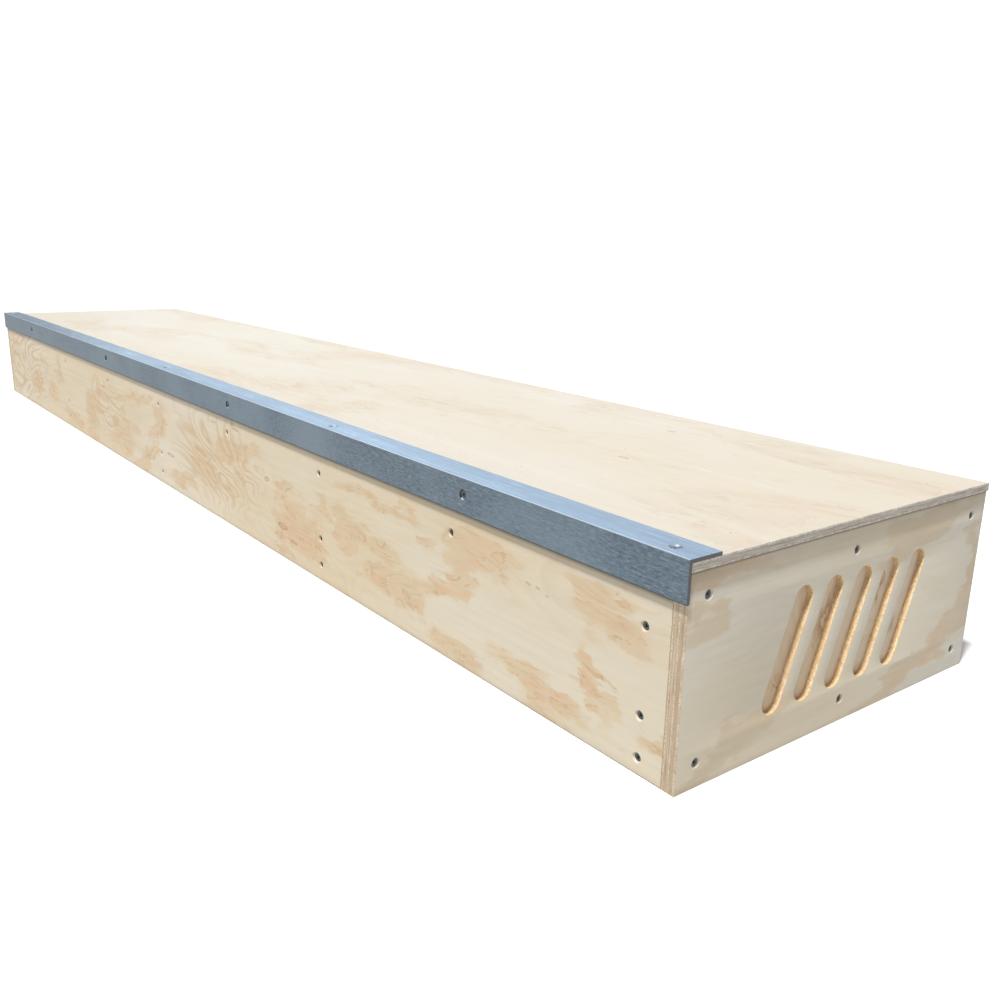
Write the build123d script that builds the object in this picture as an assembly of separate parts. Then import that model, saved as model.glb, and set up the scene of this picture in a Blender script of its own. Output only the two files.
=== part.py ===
from build123d import *
import os

# A skate ledge: a plywood box on lumber cross members, with a steel angle along its front top edge.
# Millimetres. X runs along the box and +X is the routed end, -Y is the front with the steel, +Z is up.
# The origin is the middle of the bounding box, on the ground.

# Overall sizes
length = 2438.4
wood_width = 457.2
deck_thickness = 8.7
panel_thickness = 15.1
panel_height = 198.0
deck_overhang = 1.5
side_panel_lift = 0.5

# Steel angle
leg_width = 38.1
steel_thickness = 3.2
outer_corner_radius = 0.8
inner_corner_radius = 1.5
toe_radius = 1.2
deck_arris_radius = 2.5

# Lumber cross members
joist_thickness = 38.0
joist_height = 89.0
joist_pitch = 304.8
joist_edge_radius = 3.0
joist_count = 9

# Screws
shank_radius = 2.1
head_height = 2.6
point_length = 7.0
recess_span = 4.4
recess_width = 1.0
recess_depth = 1.6
fit_gap = 0.05
panel_screw_length = 50.0
panel_head_radius = 3.9
panel_screw_sink = 1.9
panel_countersink_flare = 0.5
steel_side_screw_length = 16.0
steel_top_screw_length = 32.0
steel_head_radius = 4.7
steel_screw_sink = 1.3
steel_countersink_flare = 1.0

# Brads
brad_shank_radius = 0.6
brad_head_radius = 1.0
brad_head_height = 0.8
brad_length = 32.0
brad_sink = 0.8

# Fastener places. Screws into a joist stand a little off its middle, as hand-driven ones do.
end_column_inset = 46.0
joist_screw_shifts = [0, -7, -2, 2, -3, 4, -5, -1, 0]
hidden_screw_height = 183.0
upper_screw_heights = [138, 145, 146, 147, 143, 145, 147, 144, 139]
middle_screw_heights = [56, 58, 55, 58, 56]
low_screw_heights = [16, 22, 21, 23, 16]
end_screw_heights = [24.0, 175.0]
end_screw_inset = 24.5
steel_side_screw_drop = 17.5
steel_top_screw_inset = 15.5
steel_top_end_inset = 29.5
brad_rows = [-140.0, 15.0, 170.0]

# Routed decoration: a row of slanted slots with round ends
slot_count = 5
slot_width = 26.0
slot_slant = 20.0
slot_pitch = 45.8
slot_reach = 95.8
pocket_depth = 6.5
pocket_center_height = 98.0

# Derived places
half_length = length / 2
width = wood_width + steel_thickness
wood_front = -width / 2 + steel_thickness
wood_back = width / 2
wood_middle = (wood_front + wood_back) / 2
deck_top = panel_height + deck_thickness
end_face = half_length - deck_overhang
end_inside = end_face - panel_thickness
end_joist_middle = end_inside - joist_thickness / 2
inside_front = wood_front + panel_thickness
inside_back = wood_back - panel_thickness
steel_top = deck_top + steel_thickness
steel_outside = wood_front - steel_thickness


def block(x_range, y_range, z_range):
    """A box between two opposite corners, given as one range for each axis."""
    low = Vector(x_range[0], y_range[0], z_range[0])
    high = Vector(x_range[1], y_range[1], z_range[1])
    size = high - low
    return Pos((low + high) / 2) * Box(size.X, size.Y, size.Z)


def turned(points):
    """A solid turned about the Z axis from an outline of (radius, height) points."""
    outline = make_face(Polyline([(radius, 0, height) for radius, height in points], close=True))
    return revolve(outline, axis=Axis.Z)


def screw(screw_length, head_radius):
    """A countersunk wood screw along -Z with its head's face at the origin and a cross recess in it."""
    body = turned([
        (0, 0),
        (head_radius, 0),
        (shank_radius, -head_height),
        (shank_radius, point_length - screw_length),
        (0, -screw_length),
    ])
    half_span = recess_span / 2
    half_width = recess_width / 2
    blade = block((-half_span, half_span), (-half_width, half_width), (-recess_depth, 1))
    return body - blade - Rot(Z=90) * blade


def screw_hole(screw_length, head_radius, sink, flare):
    """The countersunk hole that a screw sits in, with its mouth at the origin."""
    seat = head_radius + fit_gap
    mouth = seat + sink * flare
    pilot = shank_radius + fit_gap
    return turned([
        (0, 1),
        (mouth, 1),
        (mouth, 0),
        (seat, -sink),
        (pilot, -sink - head_height),
        (pilot, -sink - screw_length),
        (0, -sink - screw_length - fit_gap),
    ])


def brad():
    """A finishing nail along -Z with its head's face at the origin."""
    return turned([
        (0, 0),
        (brad_head_radius, 0),
        (brad_head_radius, -brad_head_height),
        (brad_shank_radius, -brad_head_height),
        (brad_shank_radius, 2 - brad_length),
        (0, -brad_length),
    ])


def brad_hole():
    """The hole that a brad sits in, with its mouth at the origin."""
    head = brad_head_radius + fit_gap
    shank = brad_shank_radius + fit_gap
    shoulder = -brad_sink - brad_head_height - fit_gap
    return turned([
        (0, 1),
        (head, 1),
        (head, shoulder),
        (shank, shoulder),
        (shank, -brad_sink - brad_length - fit_gap),
        (0, -brad_sink - brad_length - fit_gap),
    ])


def facing(point, outward):
    """The frame of a fastener's mouth: its local +Z is the way the surface faces."""
    return Plane(origin=point, z_dir=outward).location


def joist_middles():
    """X of each top joist's middle, from the routed end to the plain end."""
    inner = [half_length - n * joist_pitch - joist_thickness / 2 for n in range(1, joist_count - 1)]
    return [end_joist_middle, *inner, -end_joist_middle]


def screw_columns():
    """X of each column of screws in the long sides."""
    columns = [middle + shift for middle, shift in zip(joist_middles(), joist_screw_shifts)]
    columns[0] = half_length - end_column_inset
    columns[-1] = end_column_inset - half_length
    return columns


def side_panel_screws(y, outward):
    """The frames of the screws through one long side: two into each end of each joist, top and bottom."""
    columns = screw_columns()
    places = [(x, hidden_screw_height) for x in columns]
    places += zip(columns, upper_screw_heights)
    places += zip(columns[::2], middle_screw_heights)
    places += zip(columns[::2], low_screw_heights)
    return [facing((x, y, z), outward) for x, z in places]


def end_panel_screws(x, outward):
    """The frames of the six screws through one end panel, in two rows of three."""
    across = [wood_front + end_screw_inset, wood_middle, wood_back - end_screw_inset]
    return [facing((x, y, z), outward) for z in end_screw_heights for y in across]


def steel_side_screws():
    """The frames of the screws through the steel's hanging leg, midway between every other joist."""
    places = [half_length - joist_pitch * (2 * n + 1) for n in range(4)]
    height = steel_top - steel_side_screw_drop
    return [facing((x, steel_outside, height), (0, -1, 0)) for x in places]


def steel_top_screws():
    """The frames of the screws through the steel's top leg, at the ends and at the quarter points."""
    ends = half_length - steel_top_end_inset
    places = [ends, length / 4, 0, -length / 4, -ends]
    y = steel_outside + steel_top_screw_inset
    return [facing((x, y, steel_top), (0, 0, 1)) for x in places]


def deck_brad_places():
    """The frames of the brads, in a row of three over each joist."""
    return [facing((x, y, deck_top), (0, 0, 1)) for x in joist_middles() for y in brad_rows]


def sunk(frames, sink):
    """The same frames, moved into the surface by the depth that the heads are sunk."""
    return [frame * Pos(0, 0, -sink) for frame in frames]


def drilled(solid, frames, hole):
    """The solid with a hole at each frame that is close enough to reach it."""
    box = solid.bounding_box()
    low = box.min.X - panel_screw_length
    high = box.max.X + panel_screw_length
    cutters = [frame * hole for frame in frames if low < frame.position.X < high]
    return solid - cutters if cutters else solid


def joist(x_middle, z_bottom):
    """One lumber cross member with rounded long edges."""
    x_range = (x_middle - joist_thickness / 2, x_middle + joist_thickness / 2)
    bar = block(x_range, (inside_front, inside_back), (z_bottom, z_bottom + joist_height))
    return fillet(bar.edges().filter_by(Axis.Y), joist_edge_radius)


def long_side(y_range):
    """A long side panel between the end panels."""
    return block((-end_inside, end_inside), y_range, (side_panel_lift, panel_height))


def end_panel(x_range):
    """An end panel that covers the ends of both long sides."""
    return block(x_range, (wood_front, wood_back), (0, panel_height))


def decoration():
    """The routed slots as one cutter, standing out of the +X end face."""
    slot = extrude(Rot(Z=90 - slot_slant) * SlotCenterToCenter(slot_reach, slot_width), pocket_depth + 1)
    row = [Pos((n - (slot_count - 1) / 2) * slot_pitch, 0, 0) * slot for n in range(slot_count)]
    face = Plane(
        origin=(end_face - pocket_depth, wood_middle, pocket_center_height),
        x_dir=(0, 1, 0),
        z_dir=(1, 0, 0),
    )
    return [face.location * cutter for cutter in row]


def deck():
    """The top sheet, with its front top arris rounded to clear the steel's inner corner."""
    sheet = block((-half_length, half_length), (wood_front, wood_back), (panel_height, deck_top))
    arris = sheet.edges().filter_by(Axis.X).sort_by(lambda edge: edge.center().Z - edge.center().Y)[-1]
    return fillet(arris, deck_arris_radius)


def rounded(section, corners, radius):
    """The flat section with the corners at these places rounded."""
    vertices = [section.vertices().sort_by_distance((x, y, 0))[0] for x, y in corners]
    return fillet(vertices, radius)


def steel_angle():
    """The angle's section with its rounded corner, root and toes, run along the whole length."""
    bottom = steel_top - leg_width
    toe = steel_outside + leg_width
    outline = [
        (steel_outside, steel_top),
        (toe, steel_top),
        (toe, deck_top),
        (wood_front, deck_top),
        (wood_front, bottom),
        (steel_outside, bottom),
    ]
    section = make_face(Polyline(outline, close=True))
    section = rounded(section, [(steel_outside, steel_top)], outer_corner_radius)
    section = rounded(section, [(wood_front, deck_top)], inner_corner_radius)
    section = rounded(section, [(toe, deck_top), (wood_front, bottom)], toe_radius)
    end = Plane(origin=(-half_length, 0, 0), x_dir=(0, 1, 0), z_dir=(1, 0, 0))
    return extrude(end * section, length)


def placed(piece, frames):
    """Copies of a fastener at each frame, as one group of separate solids."""
    return Compound(children=[frame * piece for frame in frames])


def save(name, solid):
    """One STEP file for each node."""
    export_step(solid, os.path.join("parts", name + ".step"))


os.makedirs("parts", exist_ok=True)

panel_screw = screw(panel_screw_length, panel_head_radius)
side_screw = screw(steel_side_screw_length, steel_head_radius)
top_screw = screw(steel_top_screw_length, steel_head_radius)
steel_cut = (steel_head_radius, steel_screw_sink, steel_countersink_flare)
panel_hole = screw_hole(panel_screw_length, panel_head_radius, panel_screw_sink, panel_countersink_flare)
side_hole = screw_hole(steel_side_screw_length, *steel_cut)
top_hole = screw_hole(steel_top_screw_length, *steel_cut)

front_frames = side_panel_screws(wood_front, (0, -1, 0))
back_frames = side_panel_screws(wood_back, (0, 1, 0))
routed_frames = end_panel_screws(end_face, (1, 0, 0))
plain_frames = end_panel_screws(-end_face, (-1, 0, 0))
steel_side_frames = steel_side_screws()
steel_top_frames = steel_top_screws()
brad_frames = deck_brad_places()

front_panel = drilled(long_side((wood_front, inside_front)), front_frames, panel_hole)
front_panel = drilled(front_panel, steel_side_frames, side_hole)
save("front_side_panel", drilled(front_panel, steel_top_frames, top_hole))
save("back_side_panel", drilled(long_side((inside_back, wood_back)), back_frames, panel_hole))

routed_end = end_panel((end_inside, end_face)) - decoration()
save("routed_end_panel", drilled(routed_end, routed_frames, panel_hole))
save("plain_end_panel", drilled(end_panel((-end_face, -end_inside)), plain_frames, panel_hole))

top_sheet = drilled(deck(), steel_top_frames, top_hole)
save("deck_sheet", drilled(top_sheet, brad_frames, brad_hole()))

wood_frames = front_frames + back_frames + routed_frames + plain_frames
for number, middle in enumerate(joist_middles()):
    bar = drilled(joist(middle, panel_height - joist_height), wood_frames, panel_hole)
    save(f"top_joist_{number + 1}", drilled(bar, brad_frames, brad_hole()))

for number, middle in enumerate(joist_middles()[::2]):
    save(f"bottom_joist_{number + 1}", drilled(joist(middle, 0), wood_frames, panel_hole))

angle = drilled(steel_angle(), steel_side_frames, side_hole)
save("steel_edge_angle", drilled(angle, steel_top_frames, top_hole))

save("front_panel_screws", placed(panel_screw, sunk(front_frames, panel_screw_sink)))
save("back_panel_screws", placed(panel_screw, sunk(back_frames, panel_screw_sink)))
save("routed_end_screws", placed(panel_screw, sunk(routed_frames, panel_screw_sink)))
save("plain_end_screws", placed(panel_screw, sunk(plain_frames, panel_screw_sink)))
save("angle_side_screws", placed(side_screw, sunk(steel_side_frames, steel_screw_sink)))
save("angle_top_screws", placed(top_screw, sunk(steel_top_frames, steel_screw_sink)))
save("deck_brads", placed(brad(), sunk(brad_frames, brad_sink)))
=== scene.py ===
import math
import random

import bmesh
import bpy
from mathutils import Matrix, Vector
from mathutils.geometry import tessellate_polygon
from mathutils.noise import noise as perlin


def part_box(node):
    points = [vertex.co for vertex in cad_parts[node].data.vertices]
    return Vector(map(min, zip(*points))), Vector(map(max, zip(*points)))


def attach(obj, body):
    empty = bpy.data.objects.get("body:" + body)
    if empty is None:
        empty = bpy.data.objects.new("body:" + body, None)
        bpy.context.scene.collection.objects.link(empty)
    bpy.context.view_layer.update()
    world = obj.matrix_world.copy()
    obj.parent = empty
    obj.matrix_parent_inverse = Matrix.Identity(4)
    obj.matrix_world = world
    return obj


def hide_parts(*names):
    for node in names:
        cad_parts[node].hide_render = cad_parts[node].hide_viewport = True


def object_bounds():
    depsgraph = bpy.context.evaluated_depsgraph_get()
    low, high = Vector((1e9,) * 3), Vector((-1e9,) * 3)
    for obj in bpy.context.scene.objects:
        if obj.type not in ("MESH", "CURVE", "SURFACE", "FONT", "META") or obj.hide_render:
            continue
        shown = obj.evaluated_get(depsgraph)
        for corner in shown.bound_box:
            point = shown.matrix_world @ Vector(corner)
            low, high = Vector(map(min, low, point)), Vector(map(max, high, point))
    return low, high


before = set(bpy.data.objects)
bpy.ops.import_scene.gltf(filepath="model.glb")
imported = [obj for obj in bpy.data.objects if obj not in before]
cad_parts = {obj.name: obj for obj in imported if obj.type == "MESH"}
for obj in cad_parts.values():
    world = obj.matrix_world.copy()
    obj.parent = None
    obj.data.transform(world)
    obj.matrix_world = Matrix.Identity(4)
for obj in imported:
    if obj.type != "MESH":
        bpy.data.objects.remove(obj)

# A skate ledge: plywood panels on lumber cross members, with a steel angle along the front top edge.
# Metres, in the CAD frame: X along the box with the routed end at +X, the steel side at -Y, Z up.

cad_low, cad_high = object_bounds()
MM = 0.001
X, Y, Z = Vector((1, 0, 0)), Vector((0, 1, 0)), Vector((0, 0, 1))

# Plywood build-up, from the outer face inwards. The routed pockets end on the third veneer.
PANEL_VENEERS = [2.5 * MM, 4.0 * MM, 2.1 * MM, 4.0 * MM, 2.5 * MM]
DECK_VENEERS = [2.2 * MM, 4.3 * MM, 2.2 * MM]
POCKET_DEPTH = 6.5 * MM
EDGE_STEP = 7 * MM
GLUE_GROOVE = 0.16 * MM
ARRIS = 0.55 * MM
SLOT_ARRIS = 0.25 * MM
# The middle of a quarter round, as a share of its radius
ROUND_MIDDLE = 0.3
# Points round a hole, and the angle past which an edge stays sharp
HOLE_POINTS = 24
SHARP_ANGLE = math.radians(32)

# How deep torn fibres reach into each kind of cut, and how often they change along it, per metre
PANEL_FUZZ = 0.14 * MM
DECK_FUZZ = 0.16 * MM
HOLE_FUZZ = 0.12 * MM
TORN_FUZZ = 0.45 * MM
EDGE_GRIT = 95
SLOT_GRIT = 640
DEPTH_GRIT = 900

# Screws. The recess's reach is a share of the head's radius, and its steps are (share of its outline, depth).
PANEL_HEAD_RADIUS = 3.9 * MM
STEEL_HEAD_RADIUS = 4.7 * MM
HEAD_HEIGHT = 2.6 * MM
ROOT_RADIUS = 1.45 * MM
THREAD_RADIUS = 2.1 * MM
THREAD_PITCH = 2.6 * MM
POINT_LENGTH = 7 * MM
TIP_LENGTH = 2 * MM
PANEL_SINK = 1.9 * MM
PILOT_RADIUS = 2.15 * MM
HEAD_BEVEL = 0.25 * MM
BEVEL_DEPTH = 0.2 * MM
RECESS_REACH = 0.58
RECESS_WIDTH = 0.5 * MM
RECESS_STEPS = [(1.0, 0.0), (0.93, 0.12 * MM), (0.78, 0.9 * MM), (0.5, 1.6 * MM)]

# Routed slots, as the end panel's CAD node has them
SLOT_COUNT = 5
SLOT_WIDTH = 26 * MM
SLOT_REACH = 95.8 * MM
SLOT_SLANT = math.radians(20)
SLOT_PITCH = 45.8 * MM
SLOT_HEIGHT = 98 * MM
SLOT_STEP = 1.1 * MM


# ---------------------------------------------------------------- material graph

class Graph:
    """One material's node tree, with short calls that add a node and return its output."""

    def __init__(self, name):
        self.material = bpy.data.materials.new(name)
        self.material.use_nodes = True
        self.nodes = self.material.node_tree.nodes
        self.shader = self.nodes["Principled BSDF"]
        self.place = self.nodes.new("ShaderNodeTexCoord").outputs["Object"]

    def feed(self, value, socket):
        """Links another node's output to a socket, or sets the socket to a plain value."""
        if isinstance(value, bpy.types.NodeSocket):
            self.material.node_tree.links.new(value, socket)
        else:
            socket.default_value = value

    def scaled(self, vector, scale, shift=(0, 0, 0)):
        made = self.nodes.new("ShaderNodeMapping")
        self.feed(vector, made.inputs["Vector"])
        made.inputs["Scale"].default_value = scale
        made.inputs["Location"].default_value = shift
        return made.outputs["Vector"]

    def parts(self, vector):
        """The vector's X, Y and Z."""
        made = self.nodes.new("ShaderNodeSeparateXYZ")
        self.feed(vector, made.inputs["Vector"])
        return made.outputs

    def flat(self, lengthwise, crosswise):
        """(along, across) on a sheet's face, from two of the object's own axes."""
        parts = self.parts(self.place)
        joined = self.nodes.new("ShaderNodeCombineXYZ")
        self.feed(parts[lengthwise], joined.inputs["X"])
        self.feed(parts[crosswise], joined.inputs["Y"])
        return joined.outputs["Vector"]

    def ellipse(self, flat, center, reach, turn=0.0):
        """The distance from an ellipse's middle on the face, which is 1 at its rim."""
        local = self.nodes.new("ShaderNodeMapping")
        local.vector_type = "TEXTURE"
        self.feed(flat, local.inputs["Vector"])
        local.inputs["Location"].default_value = (*center, 0)
        local.inputs["Rotation"].default_value = (0, 0, math.radians(turn))
        local.inputs["Scale"].default_value = (*reach, 1)
        made = self.nodes.new("ShaderNodeVectorMath")
        made.operation = "LENGTH"
        self.feed(local.outputs["Vector"], made.inputs[0])
        return made.outputs["Value"]

    def noise(self, vector, detail=2.0, roughness=0.5, distortion=0.0):
        made = self.nodes.new("ShaderNodeTexNoise")
        self.feed(vector, made.inputs["Vector"])
        made.inputs["Scale"].default_value = 1.0
        made.inputs["Detail"].default_value = detail
        made.inputs["Roughness"].default_value = roughness
        made.inputs["Distortion"].default_value = distortion
        return made.outputs["Fac"]

    def warped(self, vector, scale, amount, detail=3.0):
        """The vector pushed about by a noise, by up to half the amount along each axis."""
        push = self.nodes.new("ShaderNodeTexNoise")
        self.feed(self.scaled(vector, scale), push.inputs["Vector"])
        push.inputs["Scale"].default_value = 1.0
        push.inputs["Detail"].default_value = detail
        push.inputs["Roughness"].default_value = 0.6
        made = self.nodes.new("ShaderNodeVectorMath")
        made.operation = "MULTIPLY_ADD"
        self.feed(push.outputs["Color"], made.inputs[0])
        made.inputs[1].default_value = amount
        centered = [-part / 2 for part in amount]
        self.feed(self.scaled(vector, (1, 1, 1), centered), made.inputs[2])
        return made.outputs["Vector"]

    def math(self, operation, first, second=0.0):
        made = self.nodes.new("ShaderNodeMath")
        made.operation = operation
        self.feed(first, made.inputs[0])
        self.feed(second, made.inputs[1])
        return made.outputs["Value"]

    def span(self, value, low, high, out_low=0.0, out_high=1.0):
        """The value's range low to high, eased to out_low to out_high."""
        made = self.nodes.new("ShaderNodeMapRange")
        made.interpolation_type = "SMOOTHSTEP"
        self.feed(value, made.inputs["Value"])
        made.inputs["From Min"].default_value = low
        made.inputs["From Max"].default_value = high
        made.inputs["To Min"].default_value = out_low
        made.inputs["To Max"].default_value = out_high
        return made.outputs["Result"]

    def ramp(self, value, stops):
        """A grey ramp through (position, level) stops."""
        made = self.nodes.new("ShaderNodeValToRGB")
        self.feed(value, made.inputs["Fac"])
        elements = made.color_ramp.elements
        while len(elements) < len(stops):
            elements.new(0.5)
        for element, (position, level) in zip(elements, stops):
            element.position = position
            element.color = (level, level, level, 1)
        return made.outputs["Color"]

    def mix(self, amount, first, second, blend="MIX"):
        made = self.nodes.new("ShaderNodeMix")
        made.data_type = "RGBA"
        made.blend_type = blend
        self.feed(amount, made.inputs["Factor"])
        self.feed(first, made.inputs[6])
        self.feed(second, made.inputs[7])
        return made.outputs[2]

    def attribute(self, name):
        made = self.nodes.new("ShaderNodeAttribute")
        made.attribute_name = name
        return made.outputs["Fac"]

    def finish(self, color, roughness, height, depth):
        """Sets the shader's colour, roughness and bump, and returns the material."""
        self.feed(color, self.shader.inputs["Base Color"])
        self.feed(roughness, self.shader.inputs["Roughness"])
        bump = self.nodes.new("ShaderNodeBump")
        bump.inputs["Distance"].default_value = depth
        self.feed(height, bump.inputs["Height"])
        self.feed(bump.outputs["Normal"], self.shader.inputs["Normal"])
        return self.material


def tone(red, green, blue):
    return (red, green, blue, 1.0)


def tinted(color, red, green, blue):
    """The colour with each channel multiplied."""
    return tone(color[0] * red, color[1] * green, color[2] * blue)


# ---------------------------------------------------------------- wood

# Three kinds of figure: the stops from pale wood to flame, how ragged the outlines are, how many
# growth layers the cut passes through inside a patch, and how dark their lines are
CRISP = ([(0.3, 0.0), (0.5, 0.75), (0.62, 0.7), (0.8, 1.0)], 1.35, 7.0, 0.45)
FAINT = ([(0.1, 0.0), (0.4, 0.6), (0.62, 0.55), (0.8, 0.85)], 1.35, 3.5, 0.3)
SOFT = ([(0.24, 0.0), (0.46, 0.65), (0.52, 0.85), (0.60, 0.6), (0.80, 0.9)], 0.8, 0.0, 0.0)


# Figure on the front panel: (from the routed end, height, half length, half height, turn), in mm and degrees
FRONT_FIGURE = [
    (32, 34, 14, 11, 0),
    (80, 152, 44, 12, 0),
    (88, 124, 52, 17, -5),
    (97, 62, 15, 36, 15),
    (180, 24, 56, 20, -8),
    (250, 150, 24, 8, 0),
    (283, 136, 42, 19, 0),
    (322, 14, 54, 10, 0),
    (326, 100, 105, 17, 27),
    (375, 122, 26, 10, 10),
    (402, 50, 28, 20, 0),
    (455, 50, 58, 17, 5),
    (500, 143, 100, 8, 0),
    (510, 92, 74, 13, -12),
    (566, 78, 30, 18, -25),
    (628, 104, 24, 12, 0),
    (690, 60, 60, 34, -15),
    (745, 96, 30, 12, 0),
    (748, 38, 20, 36, 20),
    (905, 120, 90, 16, 8),
    (1030, 70, 60, 26, -20),
    (1130, 30, 60, 12, 5),
    (1247, 104, 42, 27, 30),
    (1320, 28, 60, 20, 30),
    (1400, 132, 105, 9, 8),
    (1455, 55, 80, 34, 10),
    (1620, 105, 16, 44, 5),
    (1667, 68, 48, 46, 45),
    (1677, 12, 50, 11, 0),
    (1810, 24, 65, 10, -5),
    (1920, 118, 30, 36, 10),
    (1990, 66, 26, 34, 60),
    (2050, 125, 45, 11, -10),
    (2150, 58, 50, 24, 20),
]
# Zones of the front panel where the growth lines show strongly, in nested loops
FRONT_LOOPS = [(2250, 95, 330, 150, 0), (985, 95, 240, 100, 0), (1560, 90, 170, 90, 0)]
# Figure on the end panel: (from the steel side, height, half length, half height, turn)
END_FIGURE = [
    (62, 20, 84, 16, 17),
    (345, 24, 170, 12, 17),
    (436, 66, 34, 20, 30),
    (452, 122, 15, 56, 0),
    (350, 176, 84, 16, 14),
    (16, 148, 34, 14, 0),
    (40, 190, 64, 11, 0),
]
# Figure and a knot on the floors of the slots: (height, from the middle, half lengths, turn)
FLOOR_FIGURE = [(62, -104, 30, 9, 20), (120, -28, 22, 10, 20), (84, 88, 26, 9, 20), (118, 52, 34, 12, 20)]
FLOOR_KNOT = ((134 * MM, 60 * MM), (9 * MM, 6.5 * MM))
# Small marks: (from the routed end, height or distance from the middle, half length, half height)
FRONT_MARKS = [(745, 46, 18, 5), (710, 31, 11, 3), (792, 104, 9, 4), (910, 163, 7, 4), (200, 128, 4, 1.6)]
FRONT_MARKS += [(186, 128, 3.5, 1.5), (172, 124, 3, 1), (898, 157, 12, 2.5), (984, 155, 12, 2)]
FRONT_MARKS += [(1192, 61, 20, 3)]
DECK_MARKS = [(369, 142, 7, 4), (293, -16, 9, 3)]


def figure_level(g, flat, seed, places, wild):
    """How much the flame figure shows: full in the given places, with some more where a noise says."""
    broad = g.noise(g.scaled(flat, (2.2, 6.5, 1), (seed, 0, 0)), 2.0, 0.5, 0.5)
    level = g.span(broad, 0.46, 0.74, 0.0, wild)
    bent = g.warped(flat, (13, 30, 1), (0.17, 0.075, 0))
    for center, reach, turn in places:
        here = g.span(g.ellipse(bent, center, reach, turn), 1.75, 0.15, 0.0, 0.85)
        level = g.math("MAXIMUM", level, here)
    return level


def growth_lines(g, flat, seed, strength, zones):
    """Thin growth lines in nested loops, faint here and there and strong in the given zones."""
    field = g.noise(g.scaled(flat, (2.4, 6.0, 1), (seed, seed, 4)), 2.5, 0.5, 1.1)
    wave = g.math("FRACT", g.math("MULTIPLY", field, 17.0))
    lines = g.ramp(wave, [(0.0, 0.0), (0.45, 0.12), (0.82, 0.9), (0.9, 1.0), (1.0, 0.0)])
    place = g.noise(g.scaled(flat, (3.1, 7.5, 1), (4, seed, seed)), 2.0, 0.5, 0.4)
    shown = g.span(place, 0.42, 0.62, 0.0, strength)
    for center, reach, turn in zones:
        shown = g.math("MAXIMUM", shown, g.span(g.ellipse(flat, center, reach, turn), 1.0, 0.35, 0.0, 0.85))
    return g.math("MULTIPLY", lines, shown)


def layered(g, flat, mask, layers, seed):
    """The mask cut into growth layers, crisp on one side and fading out to the other, and their lines."""
    crinkled = g.noise(g.scaled(flat, (9, 25, 1), (seed, 5, 0)), 5.0, 0.56, 0.9)
    wave = g.math("FRACT", g.math("MULTIPLY", crinkled, layers))
    share = g.ramp(wave, [(0.0, 0.1), (0.4, 0.35), (0.75, 0.85), (0.96, 1.0), (1.0, 0.1)])
    line = g.ramp(wave, [(0.0, 0.0), (0.84, 0.0), (0.95, 1.0), (1.0, 0.0)])
    return g.math("MULTIPLY", mask, share), g.math("MULTIPLY", mask, line)


def flame_patches(g, flat, level, kind, seed):
    """Ragged patches of flame where the level is high, and the growth lines inside them."""
    stops, raggedness, layers, darkness = kind
    ragged = g.noise(g.scaled(flat, (19, 50, 1), (0, seed, 0)), 4.5, 0.56, 0.8)
    swing = g.math("MULTIPLY", g.math("SUBTRACT", ragged, 0.5), raggedness)
    mask = g.ramp(g.math("ADD", level, swing), stops)
    if not layers:
        return mask, 0.0
    mask, line = layered(g, flat, mask, layers, seed)
    return mask, g.math("MULTIPLY", line, darkness)


def pale_wood(g, flat, seed, light, mottle, level):
    """The pale wood, drifting between cool and warm along the sheet and warmest beside the flames."""
    drift = g.noise(g.scaled(flat, (1.6, 4.2, 1), (seed, seed, 0)), 3.0, 0.55)
    mellow = g.mix(g.span(drift, 0.34, 0.66), tinted(light, 1.03, 1.07, 1.14), tinted(light, 1.0, 0.97, 0.9))
    mellow = g.mix(g.span(level, 0.05, 0.6, 0.0, 0.75), mellow, tinted(light, 0.97, 0.89, 0.78))
    return g.mix(mottle, light, mellow)


def flame_wood(g, flat, seed, flame):
    """The flame's colour, a little redder in places."""
    blush = g.noise(g.scaled(flat, (7, 13, 1), (0, 0, seed)), 2.0)
    return g.mix(g.span(blush, 0.4, 0.6), flame, tinted(flame, 1.06, 0.97, 0.94))


def small_marks(g, flat, seed, color, marks):
    """The colour with dark flecks here and there and a ringed mark at each of the given places."""
    bent = g.warped(flat, (90, 160, 1), (0.006, 0.004, 0), 2.0)
    flecks = g.noise(g.scaled(flat, (70, 620, 1), (seed, 3, 0)), 1.0)
    color = g.mix(g.span(flecks, 0.77, 0.83, 0.0, 0.4), color, tone(0.26, 0.15, 0.08))
    for center, reach in marks:
        eye = g.ramp(g.ellipse(bent, center, reach), [(0.0, 0.5), (0.4, 0.2), (0.75, 0.7), (1.0, 0.0)])
        color = g.mix(eye, color, tone(0.36, 0.19, 0.09))
    return color


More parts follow.
